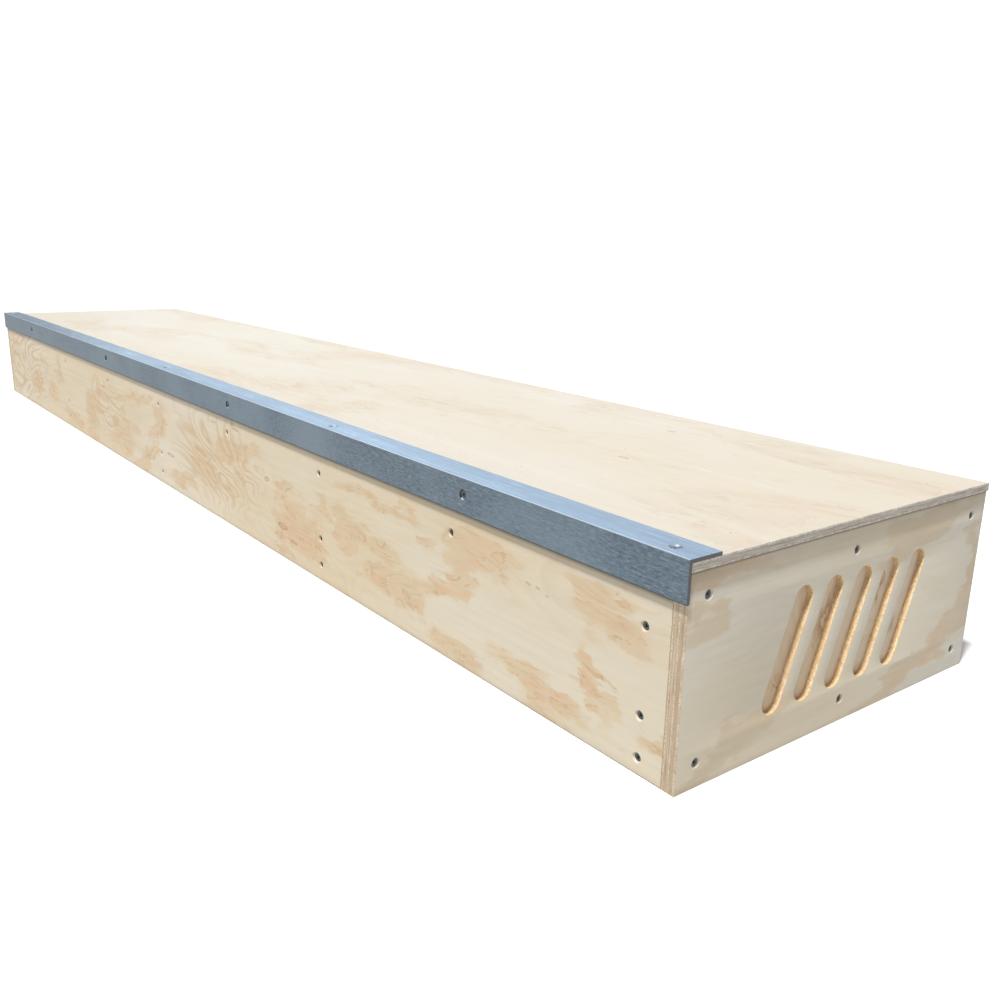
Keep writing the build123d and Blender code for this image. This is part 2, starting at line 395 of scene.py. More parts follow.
def plywood_face(
    name, axes, seed, light, flame, wild, places=(), marks=(), kind=CRISP, shine=0.3, veins=0.05,
    mottle=1.0, rings=0.2, loops=(), painted_shade=None,
):
    """The sanded face of a rotary-cut softwood sheet: pale wood with flame figure in ragged patches.

    wild is how much flame comes outside the given places, veins how dark the streaks are, mottle how far
    the pale wood drifts, and rings and loops the growth lines' strength and zones.
    The last argument places a painted shadow under an edge.
    """
    g = Graph(name)
    flat = g.flat(*axes)
    level = figure_level(g, flat, seed, places, wild)
    mask, lines = flame_patches(g, flat, level, kind, seed)
    streaks = g.noise(g.scaled(flat, (5, 150, 1), (seed, 0, 0)), 3.0, 0.6)
    fibres = g.noise(g.scaled(flat, (26, 1500, 1), (0, seed, 0)), 3.0, 0.65)
    patchy = g.noise(g.scaled(flat, (13, 30, 1), (3, seed, 7)), 3.0)
    figured = flame_wood(g, flat, seed, flame)
    color = pale_wood(g, flat, seed, light, mottle, level)
    color = g.mix(growth_lines(g, flat, seed, rings, loops), color, tinted(flame, 0.92, 0.86, 0.76))
    color = g.mix(g.math("MULTIPLY", mask, g.span(patchy, 0.34, 0.6, 0.45, 1.0)), color, figured)
    color = g.mix(lines, color, tinted(flame, 0.68, 0.62, 0.52))
    color = g.mix(1.0, color, g.ramp(streaks, [(0.3, 1 - veins), (0.7, 1.0)]), "MULTIPLY")
    color = g.mix(1.0, color, g.ramp(fibres, [(0.3, 0.95), (0.62, 1.0)]), "MULTIPLY")
    color = small_marks(g, flat, seed, color, marks)
    if painted_shade:
        # Painted shadow: the wood is darkened under an edge, where shade falls
        color = g.mix(painted_shade_below(g, *painted_shade), color, tone(0.13, 0.095, 0.06))
    height = g.math("ADD", g.math("MULTIPLY", fibres, 0.5), g.math("MULTIPLY", mask, -0.35))
    g.shader.inputs["Specular IOR Level"].default_value = shine
    return g.finish(color, g.span(streaks, 0.3, 0.7, 0.66, 0.54), height, 0.00012)


def painted_shade_below(g, line, dark_reach, reach, faint):
    """A painted shadow under an edge at a height: a dark painted line, with fainter painted shade fading out
    below it.
    """
    height = g.parts(g.place)["Z"]
    faint_shade = g.span(height, line - reach, line - reach * 0.6, 0.0, faint)
    return g.math("MAXIMUM", faint_shade, g.span(height, line - dark_reach, line, 0.0, 0.85))


def from_end(rows):
    """Figure places along the box, measured from the routed end."""
    return [((cad_high[0] - x * MM, z * MM), (a * MM, b * MM), turn) for x, z, a, b, turn in rows]


def from_steel_side(rows):
    """Figure places across the end panel, measured from its steel side."""
    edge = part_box("routed_end_panel")[0].y
    return [((edge + y * MM, z * MM), (a * MM, b * MM), turn) for y, z, a, b, turn in rows]


def in_millimetres(rows):
    """Figure places in the box's own frame."""
    return [((a * MM, b * MM), (long * MM, wide * MM), turn) for a, b, long, wide, turn in rows]


def marks_from_end(rows):
    """Places of small marks along the box, measured from the routed end."""
    return [((cad_high[0] - x * MM, z * MM), (a * MM, b * MM)) for x, z, a, b in rows]


def plywood_edge(name, grain, cross, light, dark, depth):
    """A cut edge: each veneer's own grain, with dark glue lines between the veneers and a painted shade line
    along the inner face's arris.
    """
    g = Graph(name)
    ply = g.attribute("ply")
    odd = g.math("MODULO", ply, 2.0)
    jump = g.nodes.new("ShaderNodeCombineXYZ")
    for socket in ("X", "Y", "Z"):
        g.feed(g.math("MULTIPLY", ply, 3.7), jump.inputs[socket])
    moved = g.nodes.new("ShaderNodeVectorMath")
    g.feed(g.place, moved.inputs[0])
    g.feed(jump.outputs["Vector"], moved.inputs[1])
    straight = g.scaled(moved.outputs["Vector"], grain)
    crossed = g.scaled(moved.outputs["Vector"], cross)
    local = g.mix(odd, straight, crossed)
    fibres = g.noise(local, 4.0, 0.7)
    broad = g.noise(g.scaled(local, (0.12, 0.12, 0.12)), 2.0)
    whole = g.noise(g.scaled(g.place, (9, 9, 9)), 3.0)
    color = g.mix(g.ramp(fibres, [(0.36, 1.0), (0.56, 0.0)]), light, dark)
    color = g.mix(g.span(broad, 0.4, 0.65, 0.0, 0.4), color, dark)
    color = g.mix(g.math("MULTIPLY", odd, 0.4), color, dark)
    color = g.mix(g.span(whole, 0.42, 0.62, 0.0, 0.15), color, tone(0.5, 0.42, 0.33))
    glue_and_shade = g.span(g.attribute("glue_and_shade"), 0.45, 1.0, 0.0, 0.65)
    # Dark glue lines, and painted shade along the inner arris
    color = g.mix(glue_and_shade, color, tone(0.2, 0.13, 0.08))
    g.shader.inputs["Specular IOR Level"].default_value = 0.2
    return g.finish(color, 0.78, fibres, depth)


def lumber():
    """Planed softwood cross members, grain along Y, with growth rings on the sawn ends."""
    g = Graph("planed_lumber")
    bent = g.noise(g.scaled(g.place, (9, 1.1, 9)), 2.0, 0.5, 0.3)
    local = g.scaled(g.place, (1, 0.06, 1))
    rings = g.nodes.new("ShaderNodeTexWave")
    rings.wave_type = "RINGS"
    rings.rings_direction = "Y"
    rings.wave_profile = "SAW"
    g.feed(local, rings.inputs["Vector"])
    rings.inputs["Scale"].default_value = 34.0
    rings.inputs["Distortion"].default_value = 5.0
    rings.inputs["Detail"].default_value = 2.0
    rings.inputs["Detail Scale"].default_value = 1.4
    fibres = g.noise(g.scaled(g.place, (900, 16, 900)), 3.0, 0.65)
    color = g.mix(rings.outputs["Fac"], tone(0.72, 0.56, 0.36), tone(0.55, 0.36, 0.19))
    color = g.mix(g.span(bent, 0.4, 0.7, 0.0, 0.35), color, tone(0.62, 0.43, 0.25))
    color = g.mix(1.0, color, g.ramp(fibres, [(0.3, 0.86), (0.65, 1.0)]), "MULTIPLY")
    g.shader.inputs["Specular IOR Level"].default_value = 0.3
    return g.finish(color, g.span(fibres, 0.3, 0.7, 0.68, 0.55), fibres, 0.0002)


# ---------------------------------------------------------------- metal

def painted_lean_light(g, top_leg):
    """Where the surface leans, as in the countersinks and on the corner, and how bright its painted light is
    there: a painted highlight where it faces up and not along the box, held to mid grey on the top leg, and
    painted shade elsewhere.
    """
    normal = g.parts(g.nodes.new("ShaderNodeNewGeometry").outputs["True Normal"])
    along, across, up = [g.math("ABSOLUTE", normal[axis]) for axis in ("X", "Y", "Z")]
    leaning = g.span(g.math("MAXIMUM", along, g.math("MAXIMUM", across, up)), 0.94, 0.86)
    bright = g.math("MULTIPLY", g.span(along, 0.55, 0.3), g.span(normal["Z"], 0.1, 0.4))
    least = g.math("MULTIPLY", top_leg, 0.38)
    most = g.math("SUBTRACT", 1.0, g.math("MULTIPLY", top_leg, 0.5))
    return leaning, g.math("MAXIMUM", g.math("MINIMUM", bright, most), least)


def rolled_metal(g, grain, clouds):
    """Dark mill marks on mid grey, paler in clouds and in one smooth stretch, with a few pits."""
    dark, mid, pale = tone(0.085, 0.122, 0.155), tone(0.205, 0.26, 0.315), tone(0.26, 0.325, 0.385)
    pits = g.noise(g.scaled(g.place, (300, 420, 420)), 2.0, 0.6)
    stretch = (cad_high[0] - 0.65, cad_high[2] - 0.02)
    smooth = g.span(g.ellipse(g.flat("X", "Z"), stretch, (0.09, 0.05)), 1.3, 0.2)
    color = g.mix(g.ramp(grain, [(0.38, 0.0), (0.61, 1.0)]), dark, mid)
    color = g.mix(g.span(grain, 0.56, 0.68, 0.0, 0.4), color, tone(0.38, 0.44, 0.5))
    color = g.mix(g.span(clouds, 0.42, 0.66, 0.0, 0.45), color, pale)
    color = g.mix(g.math("MULTIPLY", smooth, 0.35), color, pale)
    return g.mix(g.span(pits, 0.72, 0.8, 0.0, 0.4), color, tone(0.05, 0.055, 0.06))


def worn_top_and_sheen(g, color, spot):
    """The top face worn pale in streaks, partly real wear and partly painted sheen, with a painted highlight
    along that face's outer edge.
    """
    top_face = g.span(spot["Z"], cad_high[2] - 0.7 * MM, cad_high[2] - 0.1 * MM)
    streaks = g.noise(g.scaled(g.place, (16, 420, 420), (0, 5, 0)), 4.0, 0.7)
    wear_and_sheen = g.span(streaks, 0.36, 0.66, 0.55, 0.9)
    # Pale blue streaks on the top face: partly wear, partly painted sheen of reflected light
    color = g.mix(g.math("MULTIPLY", top_face, wear_and_sheen), color, tone(0.4, 0.49, 0.6))
    polish_and_sheen = g.math("MULTIPLY", top_face, g.span(streaks, 0.6, 0.72, 0.0, 0.45))
    color = g.mix(polish_and_sheen, color, tone(0.7, 0.76, 0.84))
    edge_highlight = g.span(spot["Y"], cad_low[1] + 2.2 * MM, cad_low[1] + 0.8 * MM)
    # Painted highlight along the top face's outer edge
    return g.mix(g.math("MULTIPLY", top_face, g.math("MULTIPLY", edge_highlight, 0.8)), color, tone(0.8, 0.86, 0.92))


def shaded_lower_edge_and_ends(g, color, spot):
    """The colour with painted shade along the lower edge, and painted shade in a dull grey on the sawn ends.
    """
    shade_under = g.span(spot["Z"], STEEL_BOTTOM + 1.0 * MM, STEEL_BOTTOM + 0.3 * MM, 0.0, 0.8)
    color = g.mix(shade_under, color, tone(0.03, 0.03, 0.032))
    from_middle = g.math("ABSOLUTE", spot["X"])
    sawn_end_shade = g.span(from_middle, cad_high[0] - 0.5 * MM, cad_high[0] - 0.1 * MM)
    return g.mix(sawn_end_shade, color, tone(0.11, 0.11, 0.115))


def mill_steel():
    """Dark hot-rolled steel with fine mill marks, worn pale with painted sheen on its top face. Painted
    light:
    a highlight on that face's outer edge, shade and highlight in the countersinks, and shade on the lower
    edge and sawn ends.
    """
    g = Graph("edge_steel")
    spot = g.parts(g.place)
    marks = g.noise(g.scaled(g.place, (115, 500, 500)), 4.0, 0.72)
    brush = g.noise(g.scaled(g.place, (9, 800, 800), (3, 0, 0)), 3.0, 0.7)
    clouds = g.noise(g.scaled(g.place, (4.5, 6, 6)), 3.0, 0.6)
    grain = g.math("ADD", g.math("MULTIPLY", marks, 0.8), g.math("MULTIPLY", brush, 0.2))
    color = worn_top_and_sheen(g, rolled_metal(g, grain, clouds), spot)
    # Painted shade on the lower edge and the sawn ends
    color = shaded_lower_edge_and_ends(g, color, spot)
    top_leg = g.span(spot["Z"], cad_high[2] - 5 * MM, cad_high[2] - 4 * MM)
    leaning_faces, brightness = painted_lean_light(g, top_leg)
    # Leaning faces get painted light: dark painted shade blended towards a pale blue painted highlight
    color = g.mix(leaning_faces, color, g.mix(brightness, tone(0.055, 0.06, 0.07), tone(0.76, 0.86, 0.97)))
    roughness = g.span(g.math("ADD", marks, g.math("MULTIPLY", clouds, 0.4)), 0.45, 0.95, 0.36, 0.54)
    roughness = g.math("ADD", roughness, g.math("MULTIPLY", leaning_faces, g.span(top_leg, 0.0, 1.0, -0.15, 0.25)))
    g.shader.inputs["Metallic"].default_value = 1.0
    g.shader.inputs["Anisotropic"].default_value = 0.3
    return g.finish(color, roughness, grain, 0.00008)


def zinc(name, color_low, color_high):
    """Zinc plate or wire, faintly mottled and scuffed."""
    g = Graph(name)
    mottle = g.noise(g.scaled(g.place, (700, 700, 700)), 3.0, 0.6)
    scuff = g.noise(g.scaled(g.place, (2600, 900, 2600)), 2.0, 0.6)
    color = g.mix(mottle, color_low, color_high)
    g.shader.inputs["Metallic"].default_value = 1.0
    return g.finish(color, g.span(mottle, 0.3, 0.7, 0.2, 0.38), scuff, 0.00003)


# ---------------------------------------------------------------- plywood geometry

class Place:
    """A sheet's own flat frame: a along, b across, and depth going in from the outer face."""

    def __init__(self, origin, a_axis, b_axis, outward):
        self.origin = Vector(origin)
        self.a_axis = a_axis
        self.b_axis = b_axis
        self.outward = outward

    def point(self, a, b, depth):
        return self.origin + self.a_axis * a + self.b_axis * b - self.outward * depth

    def flat(self, position):
        """(a, b) of a point in the row frame."""
        offset = Vector(position) - self.origin
        return offset.dot(self.a_axis), offset.dot(self.b_axis)


def rectangle_loop(length, width, step):
    """Points round a rectangle, each with the way into the sheet."""
    corners = [(0, 0), (length, 0), (length, width), (0, width)]
    inward = [(0, 1), (-1, 0), (0, -1), (1, 0)]
    loop = []
    for side in range(4):
        start, end = Vector(corners[side]), Vector(corners[(side + 1) % 4])
        count = max(2, round((end - start).length / step))
        for n in range(count):
            way = Vector(inward[side])
            if n == 0:
                way = way + Vector(inward[side - 1])
            loop.append((start.lerp(end, n / count), way))
    return loop


def circle_loop(center):
    """A hole's middle once for each way out from it. A ring's inset is then its radius."""
    turns = [2 * math.pi * n / HOLE_POINTS for n in range(HOLE_POINTS)]
    return [(Vector(center), Vector((math.cos(t), math.sin(t)))) for t in turns]


def slot_loop(center, step):
    """Points round a slanted slot with round ends, each with the way into the wood."""
    half = SLOT_WIDTH / 2
    run = Vector((math.sin(SLOT_SLANT), math.cos(SLOT_SLANT)))
    side = Vector((run.y, -run.x))
    straight = round(SLOT_REACH / step)
    bend = round(math.pi * half / step)
    loop = []
    for way in (1, -1):
        for n in range(straight):
            offset = run * way * SLOT_REACH * (n / straight - 0.5)
            loop.append((Vector(center) + offset + side * way * half, side * way))
        for n in range(bend):
            turn = math.pi * n / bend
            out = side * way * math.cos(turn) + run * way * math.sin(turn)
            loop.append((Vector(center) + run * way * SLOT_REACH / 2 + out * half, out))
    return loop


class Sheet:
    """Builds one plywood sheet as a closed mesh from rings at growing depths."""

    FACE, EDGE, ROUTED, FLOOR = 0, 1, 2, 3

    def __init__(self, place, veneers):
        self.place = place
        self.thickness = sum(veneers)
        self.joints = [sum(veneers[:n]) for n in range(len(veneers) + 1)]
        self.points = []
        self.glue_and_shade = []
        self.faces = []
        self.kinds = []
        self.plies = []
        self.caps = {"outer": [], "inner": []}

    def ply_at(self, depth):
        """The number of the veneer at a depth."""
        inside = [n for n, joint in enumerate(self.joints[1:]) if depth < joint]
        return inside[0] if inside else len(self.joints) - 2

    def ring(self, loop, depth, inset, fuzz, glue_and_shade=0.0, grit=EDGE_GRIT):
        """Adds one ring of points and returns their numbers. Fuzz tears the ring into the wood only."""
        start = len(self.points)
        for spot_at, way in loop:
            sample = (spot_at.x * grit + way.x * 2.7, spot_at.y * grit + way.y * 2.7, depth * DEPTH_GRIT)
            wear = abs(perlin(Vector(sample))) * 2 * fuzz
            flat = spot_at + way * (inset + wear)
            self.points.append(self.place.point(flat.x, flat.y, depth))
            self.glue_and_shade.append(glue_and_shade)
        return list(range(start, len(self.points)))

    def wall(self, rings, depths, kind):
        """Joins rings into a wall, one veneer number for each band."""
        for upper, lower, high, low in zip(rings, rings[1:], depths, depths[1:]):
            ply = self.ply_at((high + low) / 2)
            count = len(upper)
            for n in range(count):
                after = (n + 1) % count
                self.faces.append((upper[n], upper[after], lower[after], lower[n]))
                self.kinds.append(kind)
                self.plies.append(ply)

    def layers(self, arris, last):
        """(depth, inset, glue) of the rings down a cut, with a groove at each glue line."""
        middle = arris * ROUND_MIDDLE
        rows = [(0.0, arris, 0.0), (middle, middle, 0.0), (arris, 0.0, 0.0)]
        for joint in self.joints[1:-1]:
            if joint < last - GLUE_GROOVE:
                rows.append((joint - GLUE_GROOVE, 0.0, 0.2))
                rows.append((joint, GLUE_GROOVE, 1.0))
                rows.append((joint + GLUE_GROOVE, 0.0, 0.2))
        return rows

    def outline(self, length, width, fuzz):
        """The sheet's own cut edge, with a broken arris at both faces and a painted shade line along the
        inner one.
        """
        rows = self.layers(ARRIS, self.thickness)
        # The inner face's arris takes the glue lines' dark colour: a painted shade line where the sheet meets
        # what it sits on
        rows.append((self.thickness - ARRIS, 0.0, 0.2))
        rows.append((self.thickness - ARRIS * ROUND_MIDDLE, ARRIS * ROUND_MIDDLE, 1.0))
        rows.append((self.thickness, ARRIS, 1.0))
        loop = rectangle_loop(length, width, EDGE_STEP)
        rings = [self.ring(loop, depth, inset, fuzz, glue_and_shade) for depth, inset, glue_and_shade in rows]
        self.wall(rings, [row[0] for row in rows], self.EDGE)
        self.caps["outer"].append(rings[0])
        self.caps["inner"].append(rings[-1])

    def screw_hole(self, position, profile):
        """A hole right through, from (depth, radius) pairs below the outer face. Its cone is face veneer."""
        rows = [row for row in profile if row[0] < self.thickness]
        rows.append((self.thickness, rows[-1][1]))
        loop = circle_loop(self.place.flat(position))
        rings = [self.ring(loop, depth, radius, HOLE_FUZZ) for depth, radius in rows]
        depths = [row[0] for row in rows]
        cone = sum(depth < self.joints[1] for depth in depths)
        self.wall(rings[:cone], depths[:cone], self.FACE)
        self.wall(rings[cone - 1:], depths[cone - 1:], self.EDGE)
        self.caps["outer"].append(rings[0])
        self.caps["inner"].append(rings[-1])

    def pocket(self, center):
        """One routed slot with torn walls, down to the floor veneer."""
        loop = slot_loop(center, SLOT_STEP)
        rows = self.layers(SLOT_ARRIS, POCKET_DEPTH)
        torn = [joint for joint in self.joints if joint < POCKET_DEPTH][-1]
        rows += [(torn + (POCKET_DEPTH - torn) * share, 0.0, 0.0) for share in (0.3, 0.55, 0.8, 1.0)]
        rings = []
        for depth, inset, glue_and_shade in rows:
            fuzz = TORN_FUZZ if torn < depth < POCKET_DEPTH else HOLE_FUZZ
            rings.append(self.ring(loop, depth, inset, fuzz, glue_and_shade, SLOT_GRIT))
        self.wall(rings, [row[0] for row in rows], self.ROUTED)
        self.caps["outer"].append(rings[0])
        self.cap([rings[-1]], self.FLOOR, self.ply_at(POCKET_DEPTH + GLUE_GROOVE))

    def cap(self, loops, kind, ply):
        """Fills a flat face with its holes."""
        flat = [[self.points[n] for n in loop] for loop in loops]
        numbers = [n for loop in loops for n in loop]
        for corners in tessellate_polygon(flat):
            self.faces.append(tuple(numbers[n] for n in corners))
            self.kinds.append(kind)
            self.plies.append(ply)

    def build(self, name, materials):
        """Closes both faces and makes the object, with its veneers, and its glue lines with the painted arris
        shade, as attributes.
        """
        self.cap(self.caps["outer"], self.FACE, 0)
        self.cap(self.caps["inner"], self.FACE, len(self.joints) - 2)
        mesh = bpy.data.meshes.new(name)
        mesh.from_pydata(self.points, [], self.faces)
        for material in materials:
            mesh.materials.append(material)
        mesh.polygons.foreach_set("material_index", self.kinds)
        mesh.attributes.new("ply", "FLOAT", "FACE").data.foreach_set("value", [float(p) for p in self.plies])
        mesh.attributes.new("glue_and_shade", "FLOAT", "POINT").data.foreach_set("value", self.glue_and_shade)
        return finished(name, mesh)


def finished(name, mesh):
    """Links a mesh as an object, with outward faces and sharp edges kept."""
    shape = bmesh.new()
    shape.from_mesh(mesh)
    bmesh.ops.recalc_face_normals(shape, faces=shape.faces)
    shape.to_mesh(mesh)
    shape.free()
    mesh.shade_smooth()
    mesh.set_sharp_from_angle(angle=SHARP_ANGLE)
    piece = bpy.data.objects.new(name, mesh)
    bpy.context.scene.collection.objects.link(piece)
    return piece


def stand_for(piece, node):
    """The piece rides with the box and takes the CAD node's place."""
    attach(piece, "root")
    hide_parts(node)
    return piece


# ---------------------------------------------------------------- screws

def islands(node):
    """The box of each separate solid in a CAD node, found from points that share faces."""
    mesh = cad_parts[node].data
    keys = [tuple(round(c * 1e6) for c in v.co) for v in mesh.vertices]
    leader = {key: key for key in keys}

    def find(key):
        while leader[key] != key:
            leader[key] = leader[leader[key]]
            key = leader[key]
        return key

    for face in mesh.polygons:
        first = find(keys[face.vertices[0]])
        for number in face.vertices[1:]:
            leader[find(keys[number])] = first
    groups = {}
    for vertex, key in zip(mesh.vertices, keys):
        groups.setdefault(find(key), []).append(vertex.co)
    boxes = []
    for points in groups.values():
        low = Vector([min(p[i] for p in points) for i in range(3)])
        high = Vector([max(p[i] for p in points) for i in range(3)])
        boxes.append((low, high))
    return sorted(boxes, key=lambda box: tuple(round(c, 4) for c in box[0]))


def head_centers(node, outward):
    """The middle of each screw head's face, and the screw's length."""
    found = []
    for low, high in islands(node):
        middle = (low + high) / 2
        half = abs((high - low).dot(outward)) / 2
        found.append((middle + outward * half, half * 2))
    return found


def cross_outline(arm, width):
    """A cross recess as a loop of points, with its waist rounded a little."""
    waist = width * 1.25
    loop = []
    for quarter in range(4):
        turn = Matrix.Rotation(quarter * math.pi / 2, 2)
        for point in ((arm * 0.94, -width), (arm, 0), (arm * 0.94, width), (waist, waist)):
            loop.append(turn @ Vector(point))
    return loop


class Screw:
    """One screw along -Z from the origin, with a cross recess in its head and a thread."""

    HEAD_POINTS = 16
    SHANK_POINTS = 10
    STEPS_PER_TURN = 4

    def __init__(self, length, head_radius):
        self.points = []
        self.faces = []
        rim = self.ring(self.circle(head_radius - HEAD_BEVEL, 0))
        self.recess(rim, head_radius * RECESS_REACH)
        brim = self.ring(self.circle(head_radius, -BEVEL_DEPTH))
        neck = self.ring(self.circle(ROOT_RADIUS, -HEAD_HEIGHT))
        self.join([rim, brim, neck])
        self.faces.append(tuple(reversed(neck)))
        self.shank(neck, length)

    def ring(self, loop):
        """Adds a loop of points and returns their numbers."""
        start = len(self.points)
        self.points.extend(loop)
        return list(range(start, len(self.points)))

    def join(self, rings):
        """A wall through equal rings."""
        for upper, lower in zip(rings, rings[1:]):
            for n in range(len(upper)):
                after = (n + 1) % len(upper)
                self.faces.append((upper[n], upper[after], lower[after], lower[n]))

    def circle(self, radius, height):
        turns = [2 * math.pi * n / self.HEAD_POINTS for n in range(self.HEAD_POINTS)]
        return [Vector((radius * math.cos(t), radius * math.sin(t), height)) for t in turns]

    def recess(self, rim, arm):
        """The cross recess, narrowing as it goes down, and the flat face round it."""
        outline = cross_outline(arm, RECESS_WIDTH)
        rings = [
            self.ring([Vector((p.x * share, p.y * share, -depth)) for p in outline])
            for share, depth in RECESS_STEPS
        ]
        numbers = rim + rings[0]
        loops = [[self.points[n] for n in loop] for loop in (rim, rings[0])]
        for corners in tessellate_polygon(loops):
            self.faces.append(tuple(numbers[n] for n in corners))
        self.join(rings)
        self.faces.append(tuple(rings[-1]))

    def thread_loop(self, height, length):
        """The thread's outline at a height, tapering towards the point."""
        taper = min(1.0, (length - height) / POINT_LENGTH)
        loop = []
        for n in range(self.SHANK_POINTS):
            turn = 2 * math.pi * n / self.SHANK_POINTS
            phase = (height / THREAD_PITCH + n / self.SHANK_POINTS) % 1.0
            ridge = max(0.0, 1 - abs(phase - 0.5) * 4)
            radius = (ROOT_RADIUS + (THREAD_RADIUS - ROOT_RADIUS) * ridge) * taper
            loop.append(Vector((radius * math.cos(turn), radius * math.sin(turn), -height)))
        return loop

    def shank(self, neck, length):
        """The threaded shank from the neck to the point."""
        picked = [neck[round(n * self.HEAD_POINTS / self.SHANK_POINTS)] for n in range(self.SHANK_POINTS)]
        rings = [self.ring([self.points[n].copy() for n in picked])]
        step = THREAD_PITCH / self.STEPS_PER_TURN
        height = HEAD_HEIGHT + step
        while height < length - TIP_LENGTH:
            rings.append(self.ring(self.thread_loop(height, length)))
            height += step
        self.join(rings)
        self.faces.append(tuple(rings[0]))
        tip = self.ring([Vector((0, 0, -length))])[0]
        for n in range(self.SHANK_POINTS):
            self.faces.append((rings[-1][n], rings[-1][(n + 1) % self.SHANK_POINTS], tip))


def screws(node, outward, head_radius, material, dice):
    """Detailed screws in place of one CAD group, each turned its own way."""
    points, faces = [], []
    face_way = Z.rotation_difference(outward).to_matrix()
    for head, length in head_centers(node, outward):
        screw = Screw(length, head_radius)
        spin = Matrix.Rotation(dice.uniform(0, math.pi / 2), 3, "Z")
        start = len(points)
        points += [head + face_way @ (spin @ p) for p in screw.points]
        faces += [tuple(start + n for n in face) for face in screw.faces]
    name = node + "_threaded"
    mesh = bpy.data.meshes.new(name)
    mesh.from_pydata(points, [], faces)
    mesh.materials.append(material)
    return stand_for(finished(name, mesh), node)


# ---------------------------------------------------------------- the sheets

# Holes as (depth below the outer face, radius)
COUNTERSINK = [
    (0.0, 5.1 * MM),
    (0.25 * MM, 4.85 * MM),
    (PANEL_SINK, 4.0 * MM),
    (PANEL_SINK + HEAD_HEIGHT, PILOT_RADIUS),
]
STEEL_PILOT = [(0.0, 2.9 * MM), (0.75 * MM, PILOT_RADIUS)]
BRAD_PILOT = [(0.0, 1.05 * MM), (1.7 * MM, 0.65 * MM)]


def sheet_place(node, a_axis, b_axis, outward):
    """The flat frame on a CAD sheet's outer face, and the sheet's length and width."""
    low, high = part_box(node)
    corner = Vector([high[i] if outward[i] > 0 else low[i] for i in range(3)])
    for axis in (a_axis, b_axis):
        i = [abs(round(c)) for c in axis].index(1)
        corner[i] = low[i] if axis[i] > 0 else high[i]
    size = high - low
    return Place(corner, a_axis, b_axis, outward), abs(size.dot(a_axis)), abs(size.dot(b_axis))


def heads(node, outward):
    """The middle of each screw head's face."""
    return [head for head, length in head_centers(node, outward)]


def long_panel(node, screw_node, outward, materials, extra=()):
    """A side panel, with extra pilot holes for the screws that come through the steel."""
    place, length, width = sheet_place(node, X, Z, outward)
    sheet = Sheet(place, PANEL_VENEERS)
    sheet.outline(length, width, PANEL_FUZZ)
    for head in heads(screw_node, outward):
        sheet.screw_hole(head, COUNTERSINK)
    for head in extra:
        sheet.screw_hole(head, STEEL_PILOT)
    return stand_for(sheet.build(node + "_plywood", materials), node)


def end_panel(node, screw_node, outward, materials, routed):
    """An end panel, with the row of slanted slots if it is the routed one."""
    place, length, width = sheet_place(node, Y, Z, outward)
    sheet = Sheet(place, PANEL_VENEERS)
    sheet.outline(length, width, PANEL_FUZZ)
    for head in heads(screw_node, outward):
        sheet.screw_hole(head, COUNTERSINK)
    if routed:
        for n in range(SLOT_COUNT):
            shift = (n - (SLOT_COUNT - 1) / 2) * SLOT_PITCH
            sheet.pocket((length / 2 + shift, SLOT_HEIGHT))
    return stand_for(sheet.build(node + "_plywood", materials), node)


def deck(materials):
    """The deck, with holes for the steel's top screws and for the brads."""
    node = "deck_sheet"
    place, length, width = sheet_place(node, X, Y, Z)
    sheet = Sheet(place, DECK_VENEERS)
    sheet.outline(length, width, DECK_FUZZ)
    for head in heads("angle_top_screws", Z):
        sheet.screw_hole(head, STEEL_PILOT)
    for head in heads("deck_brads", Z):
        sheet.screw_hole(head, BRAD_PILOT)
    return stand_for(sheet.build(node + "_plywood", materials), node)


# ---------------------------------------------------------------- making the object

# How finely fibres repeat along X, Y and Z on a cut edge, per metre
LENGTH_GRAIN = (30, 900, 900)
CROSS_GRAIN = (900, 900, 30)
ACROSS_GRAIN = (900, 30, 900)

SIDE_LIGHT, SIDE_FLAME = tone(0.62, 0.539, 0.408), tone(0.572, 0.425, 0.277)
END_LIGHT, END_FLAME = tone(0.593, 0.547, 0.46), tone(0.53, 0.445, 0.325)
DECK_LIGHT, DECK_FLAME = tone(0.56, 0.517, 0.446), tone(0.51, 0.452, 0.368)
FLOOR_LIGHT, FLOOR_FLAME = tone(0.62, 0.52, 0.4), tone(0.42, 0.27, 0.17)
EDGE_LIGHT, EDGE_DARK = tone(0.69, 0.59, 0.455), tone(0.36, 0.265, 0.17)
DECK_EDGE_LIGHT, DECK_EDGE_DARK = tone(0.65, 0.605, 0.552), tone(0.24, 0.21, 0.18)
ROUTED_LIGHT, ROUTED_DARK = tone(0.95, 0.77, 0.5), tone(0.52, 0.31, 0.14)

STEEL_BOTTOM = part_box("steel_edge_angle")[0].z
DECK_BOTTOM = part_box("deck_sheet")[0].z

# The front face carries a painted shadow under the steel's hanging leg
front_face = plywood_face(
    "front_plywood_face", ("X", "Z"), 2.3, SIDE_LIGHT, SIDE_FLAME, 0.38,
    from_end(FRONT_FIGURE), marks_from_end(FRONT_MARKS), loops=from_end(FRONT_LOOPS),
    painted_shade=(STEEL_BOTTOM, 7 * MM, 15 * MM, 0.12),
)
back_face = plywood_face("back_plywood_face", ("X", "Z"), 8.1, SIDE_LIGHT, SIDE_FLAME, 0.95, rings=0.4)
